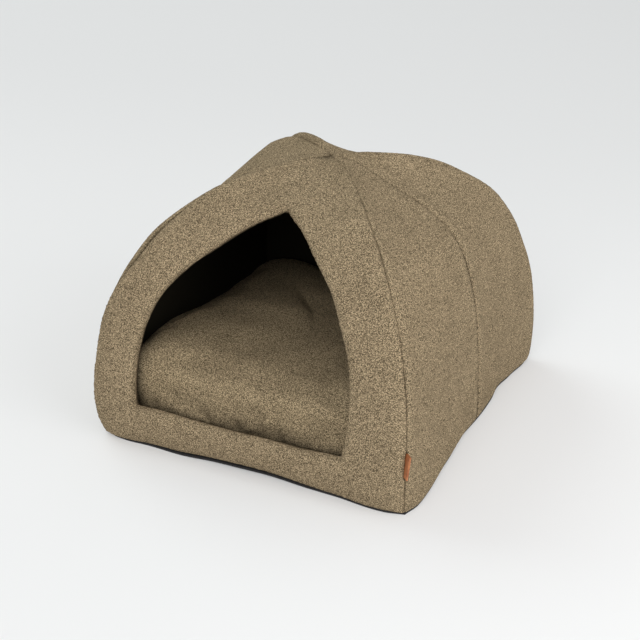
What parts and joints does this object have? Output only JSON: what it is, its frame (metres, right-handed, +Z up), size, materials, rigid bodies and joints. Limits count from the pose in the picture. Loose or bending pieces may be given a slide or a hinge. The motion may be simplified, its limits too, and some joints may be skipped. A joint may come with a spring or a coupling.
{
  "type": "dog cave bed",
  "caption": "Igloo-shaped padded fleece cave bed for a small dog, with a pointed doorway, a loose cushion inside and a thin non-slip base cloth.",
  "frame": {"origin": "middle of the base's underside, on the floor", "axes": "+Z up; the doorway faces -Y; +X is to the right of someone who looks into the doorway"},
  "size_m": [0.5292, 0.5569, 0.3999],
  "materials": {
    "wall_fleece": "curly teddy fleece, khaki brown, matt",
    "cushion_fleece": "short teddy fleece, khaki brown, matt",
    "base_cloth": "black non-slip cloth, matt",
    "tab_leather": "smooth tan leather with an edge paint line"
  },
  "bodies": {
    "root": {"front_panel": "wall_fleece", "back_panel": "wall_fleece", "side_right_front": "wall_fleece", "side_right_back": "wall_fleece", "side_left_front": "wall_fleece", "side_left_back": "wall_fleece", "base_panel": "base_cloth", "cushion": "cushion_fleece", "leather_tab": "tab_leather"}
  },
  "joints": []
}
